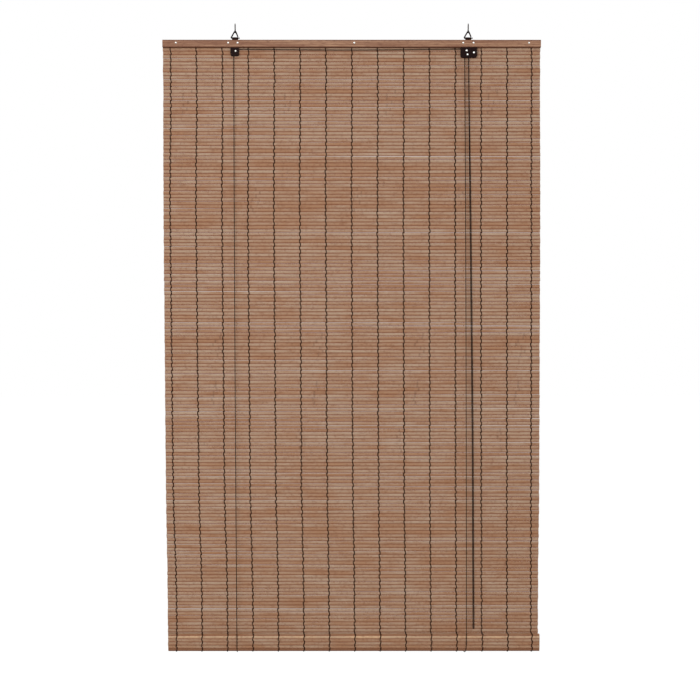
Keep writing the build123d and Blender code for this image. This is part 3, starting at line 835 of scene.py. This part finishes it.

# %% [markdown]
# The roll stands a little to the right of the mat, so the threads make a small step where they reach it. A
# golden slat runs along its upper edge, paler cane with a painted highlight, and a brown one along its
# lower edge, which is painted shade under the roll.

# %% The bottom roll
ROLL_SLATS = 12
ROLL_LENGTH = 1.0
ROLL_RIGHT = 6.0
THREAD_STEP = 0.9
# the golden row is paler cane with a painted highlight, and the brown row is painted shade
GOLDEN_HIGHLIT_ROW, BROWN_SHADED_ROW = 2, 6
ROLL_THREAD = {"width": 0.95 * MM, "depth": 1.3 * MM, "radius": 1.5 * MM}


def roll_slat_tree():
    tree = Pattern("roll_slats", "rows first", "pitch length thickness")
    slats = bend_round_bar(tree, slat_rows(tree, 11, GOLDEN_HIGHLIT_ROW, BROWN_SHADED_ROW))
    x, y, z = tree.parts(tree.here())
    return tree.done(tree.move(slats, tree.vector(x + ROLL_RIGHT * MM, y, z)), bamboo)


def roll_thread_tree():
    tree = Pattern("roll_threads", "rows", "pitch gap width depth radius")
    size = [tree.given(n) for n in ("rows", "pitch", "width", "depth", "radius")]
    threads = spread(tree, woven_pair(tree, *size), WARPS, tree.given("gap"))
    threads = bend_round_bar(tree, threads)
    x, y, z = tree.parts(tree.here())
    shift = (WARP_SHIFT + WARP_LEAN + THREAD_STEP) * MM
    place = tree.vector(x + shift - last_in(tree), y, z)
    return tree.done(tree.move(threads, place), warp_cotton)


roll_pitch = LOOP_LENGTH * MM / ROLL_SLATS
wrap = roll_slat_tree().grow(
    "roll_slats", rows=ROLL_SLATS, first=0, pitch=roll_pitch, length=ROLL_LENGTH,
    thickness=MAT_THICKNESS * MM,
)
ties = roll_thread_tree().grow(
    "roll_threads", rows=ROLL_SLATS, pitch=roll_pitch, gap=WARP_SPACING * MM, **ROLL_THREAD
)
ties.data.shade_smooth()
for part, node, slot in ((wrap, "hem_wrap", "bamboo"), (ties, "hem_threads", "warp_thread")):
    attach(part, "bottom_roll")
    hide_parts(node)

# %% [markdown]
# The CAD shapes of the rail, the bar and most of the metal are right as they are, so they stay and get
# materials. Wood is long soft streaks, shorter marks and fine pores, all stretched along the grain. The
# strip's long edges are darker, partly stain gathered there and partly painted shade of their rounding, and
# the rail's left half took a little more stain. The raw bar in the roll is the same recipe in other
# colours.


# %% Wood
def sawn_wood(name, pale, dark, stain_and_edge_shade, middle, half):
    """Wood with its grain along X, on a strip whose middle and half height are given in millimetres."""
    finish = Finish(name)
    place = finish.place()
    x, y, z = finish.parts(place)
    long = finish.noise(finish.vectors("MULTIPLY", place, (4, 90, 130)), 1.0, 4, 0.65)
    short = finish.noise(finish.vectors("MULTIPLY", place, (60, 200, 260)), 1.0, 3, 0.6)
    pores = finish.noise(finish.vectors("MULTIPLY", place, (40, 1500, 1500)), 1.0, 2, 0.6)
    bands = (z * 1100 + long * 16).math("SINE", z * 1100 + long * 16) * 0.5 + 0.5
    leftwards = finish.ease(x, -0.1, -0.5)
    away = z - middle * MM
    away = away.math("ABSOLUTE", away)
    colour = finish.layers(
        pale,
        (finish.ease(long + leftwards * 0.1, 0.35, 0.65), dark),
        (bands * 0.5, dark),
        (finish.ease(short, 0.45, 0.7) * 0.5, stain_and_edge_shade),
        (finish.ease(pores, 0.5, 0.72) * 0.35, stain_and_edge_shade),
        # long edges darker: partly stain, partly painted shade of the rounded edges
        (finish.ease(away, (half - 3.5) * MM, (half - 0.5) * MM) * 0.85, stain_and_edge_shade),
    )
    return finish.done(
        pores + bands * 0.3, 0.0002, Base_Color=colour, Roughness=0.5 + pores * 0.2,
        Specular_IOR_Level=0.3,
    )


rail_wood = sawn_wood(
    "stained_rail", paint(174, 134, 105), paint(132, 90, 66), paint(98, 58, 40), -42.0, 10.0
)
bar_wood = sawn_wood(
    "raw_bar", paint(205, 175, 135), paint(184, 150, 108), paint(150, 112, 76), ROLL_Z, 21.9
)

# %% [markdown]
# The brackets and rings are steel with dark brown paint, a little uneven and nearly matt. The hooks are
# zinc that has gone brown, darker towards the ring, and their screw threads, the staples and the pawl are
# bare zinc. The nails and rivets are bright nickel, and the wheels black nylon. Each gets its own small
# variation, because a perfectly even metal looks like plastic.

# %% Metal, paint and nylon
HOOK_FOOT = -9


def plain_finish(name, first, second, scale, rough, metallic, shine=0.5, foot=None):
    """Patches of two colours, and for a hook a third towards its foot. rough is the least and the most."""
    finish = Finish(name)
    place = finish.place()
    patches = finish.noise(place, scale, 3, 0.6)
    fine = finish.noise(place, scale * 9, 2)
    colour = finish.layers(first, (finish.ease(patches, 0.35, 0.7), second))
    if foot is not None:
        x, y, z = finish.parts(place)
        colour = finish.layers(foot, (finish.ease(z, HOOK_FOOT * MM, 0.0), colour))
    low, high = rough
    roughness = low + patches * (high - low)
    return finish.done(
        fine + patches, 0.00005, Base_Color=colour, Roughness=roughness, Metallic=metallic,
        Specular_IOR_Level=shine,
    )


painted_steel = plain_finish(
    "painted_steel", paint(24, 12, 11), paint(36, 21, 18), 260.0, (0.4, 0.65), 0.0, 0.04
)
zinc = plain_finish("zinc", paint(132, 128, 124), paint(96, 92, 90), 420.0, (0.3, 0.6), 0.9)
browned = plain_finish(
    "browned_zinc", paint(70, 62, 60), paint(46, 38, 36), 420.0, (0.4, 0.65), 0.2, 0.1,
    foot=paint(28, 17, 15),
)
nickel = plain_finish(
    "bright_nickel", paint(244, 243, 238), paint(224, 222, 214), 300.0, (0.15, 0.4), 1.0
)
nylon = plain_finish("nylon", paint(38, 36, 36), paint(52, 50, 49), 350.0, (0.35, 0.55), 0.0, 0.3)

# %% [markdown]
# A CAD piece stays where it is, and its shape isn't touched: only the material in its slot is changed.

# %% Finishes for the CAD shapes
FINISHES = {
    "head_rail_front": rail_wood, "head_rail_back": rail_wood, "hem_bar": bar_wood,
    "left_bracket": painted_steel, "lock_bracket": painted_steel,
    "left_ring": painted_steel, "right_ring": painted_steel,
    "left_hook": browned, "right_hook": browned, "left_staple": zinc, "right_staple": zinc,
    "rail_nails": nickel, "left_pulley_pin": nickel, "lock_pulley_pin": nickel,
    "lock_anvil_pin": nickel, "lock_pawl_pin": nickel, "lock_pawl": zinc,
    "left_pulley": nylon, "lock_rear_pulley": nylon, "lock_front_pulley": nylon,
}
for node, finish in FINISHES.items():
    for holder in frame["nodes"][node].material_slots:
        holder.material = finish
print("CAD nodes with a finish:", len(FINISHES))

# %% [markdown]
# A coat makes a bent wire thicker, and softens where it was cut. So the two rings and the two hooks get
# one: a copy of the CAD mesh in which each point moves outwards along its normal, by less than half a
# millimetre. The copy's doubles are merged first, because the CAD mesh is loose triangles.

# %% Coated wire
COATS = {"left_ring": 0.45, "right_ring": 0.45, "left_hook": 0.3, "right_hook": 0.3}
SAME_PLACE = 0.01


def coated(node, coat):
    """A copy of a CAD node's mesh that is thicker all round, in its place."""
    source = frame["nodes"][node]
    mesh = bpy.data.meshes.new(f"{node}_wire")
    bench = bmesh.new()
    bench.from_mesh(source.data)
    bmesh.ops.transform(bench, matrix=source.matrix_world, verts=bench.verts)
    bmesh.ops.remove_doubles(bench, verts=bench.verts, dist=SAME_PLACE * MM)
    bmesh.ops.recalc_face_normals(bench, faces=bench.faces)
    bench.normal_update()
    moves = [(vertex, vertex.normal * coat * MM) for vertex in bench.verts]
    for vertex, move in moves:
        vertex.co += move
    bench.to_mesh(mesh)
    bench.free()
    mesh.materials.append(FINISHES[node])
    piece = bpy.data.objects.new(f"{node}_wire", mesh)
    bpy.context.scene.collection.objects.link(piece)
    return piece


for node, coat in COATS.items():
    wire = coated(node, coat)
    wire.data.shade_smooth()
    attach(wire, "hangers")
    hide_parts(node)
    "dark_steel" if "ring" in node else "hook_steel"
    print(wire.name, "with", len(wire.data.polygons), "faces")

# %% [markdown]
# The shank of each hook is a wood screw. Its thread is a spiral with a three-sided section round the shank.

# %% Screw threads of the hooks
HOOK_X = 308.5
SCREW_TURNS = 7.0
SCREW_RADIUS, SCREW_HEIGHT, SCREW_FOOT = 1.5, 8.2, 0.6
TOOTH = 0.28


def screw_tree():
    tree = Pattern("screw_thread", "", "turns radius height x")
    radius, height = tree.given("radius"), tree.given("height")
    inputs = {"Resolution": 14, "Rotations": tree.given("turns"), "Start Radius": radius}
    spiral = tree.add("GeometryNodeCurveSpiral", {}, inputs | {"End Radius": radius, "Height": height})
    tooth = {"Resolution": 3, "Radius": TOOTH * MM}
    tooth = tree.add("GeometryNodeCurvePrimitiveCircle", {}, tooth)
    inputs = {"Curve": spiral, "Profile Curve": tooth, "Fill Caps": True}
    ridge = tree.add("GeometryNodeCurveToMesh", {}, inputs)
    x, y, z = tree.parts(tree.here())
    place = tree.vector(x + tree.given("x"), y, z + SCREW_FOOT * MM)
    return tree.done(tree.move(ridge, place), zinc)


screws = screw_tree()
sizes = {"turns": SCREW_TURNS, "radius": SCREW_RADIUS * MM, "height": SCREW_HEIGHT * MM}
for side, x in (("left", -HOOK_X), ("right", HOOK_X)):
    ridge = screws.grow(f"{side}_hook_thread", x=x * MM, **sizes)
    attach(ridge, "hangers")

# %% [markdown]
# A plain studio. The floor lies half a metre below the blind. It is pale and matt, and it glows to the
# camera alone, so the background is white without more light on the object.

# %% The floor
FLOOR_Z, FLOOR_REACH = -2.2, 15.0
signs = [(-1, -1), (1, -1), (1, 1), (-1, 1)]
corners = [(x * FLOOR_REACH, y * FLOOR_REACH, FLOOR_Z) for x, y in signs]
floor_mesh = bpy.data.meshes.new("floor")
floor_mesh.from_pydata(corners, [], [(0, 1, 2, 3)])
floor = bpy.data.objects.new("floor", floor_mesh)
bpy.context.scene.collection.objects.link(floor)
pale = Finish("pale_floor")
seen = pale.add("ShaderNodeLightPath", {}, {}, "Is Camera Ray")
matt = pale.add("ShaderNodeBsdfDiffuse", {}, {"Color": (0.45, 0.45, 0.45, 1)})
glow = pale.add("ShaderNodeEmission", {}, {"Color": (1, 1, 1, 1), "Strength": seen * 0.8})
pale.add("ShaderNodeOutputMaterial", {}, {0: pale.add("ShaderNodeAddShader", {}, {0: matt, 1: glow})})
floor_mesh.materials.append(pale.material)
print("floor at", FLOOR_Z, "m")

# %% [markdown]
# The world does the same as the floor: it is a weak light for the object, and white for what the camera and
# shiny metal see.

# %% The world
world = bpy.data.worlds.new("studio")
bpy.context.scene.world = world
world.use_nodes = True
world.node_tree.nodes.clear()
sky = NodeSheet(world.node_tree)
rays = sky.add("ShaderNodeLightPath").socket.node.outputs
seen = Wire(sky, rays["Is Camera Ray"])
seen = seen.math("MAXIMUM", seen, Wire(sky, rays["Is Glossy Ray"]))
seen = seen.math("MAXIMUM", seen, Wire(sky, rays["Is Transmission Ray"]))
light = sky.add("ShaderNodeBackground", {}, {"Color": (1, 1, 1, 1), "Strength": 0.45})
white = sky.add("ShaderNodeBackground", {}, {"Color": (1, 1, 1, 1), "Strength": 1.0})
both = sky.add("ShaderNodeMixShader", {}, {0: seen, 1: light, 2: white})
sky.add("ShaderNodeOutputWorld", {}, {"Surface": both})
print("world nodes:", len(world.node_tree.nodes))

# %% [markdown]
# Two large square lamps give soft light from in front, the stronger one from the left at the rail's height.
# A lamp as wide as this makes a shadow with a soft edge, so the rail hardly darkens the slats below.

# %% The lamps
AIM = Vector((0, 0, -0.85))


def lamp(name, place, size, power):
    """A square lamp that looks at the middle of the blind."""
    data = bpy.data.lights.new(name, "AREA")
    data.shape, data.size, data.energy = "SQUARE", size, power
    made = bpy.data.objects.new(name, data)
    made.location = place
    made.rotation_euler = (AIM - Vector(place)).to_track_quat("-Z", "Y").to_euler()
    bpy.context.scene.collection.objects.link(made)
    print(f"lamp {name}: {power} watts, {size} m square")


lamp("key", (-1.3, -3.9, 0.0), 2.4, 108)
lamp("fill", (3.0, -3.4, -0.4), 2.5, 36)
bpy.context.scene.view_settings.view_transform = "Standard"
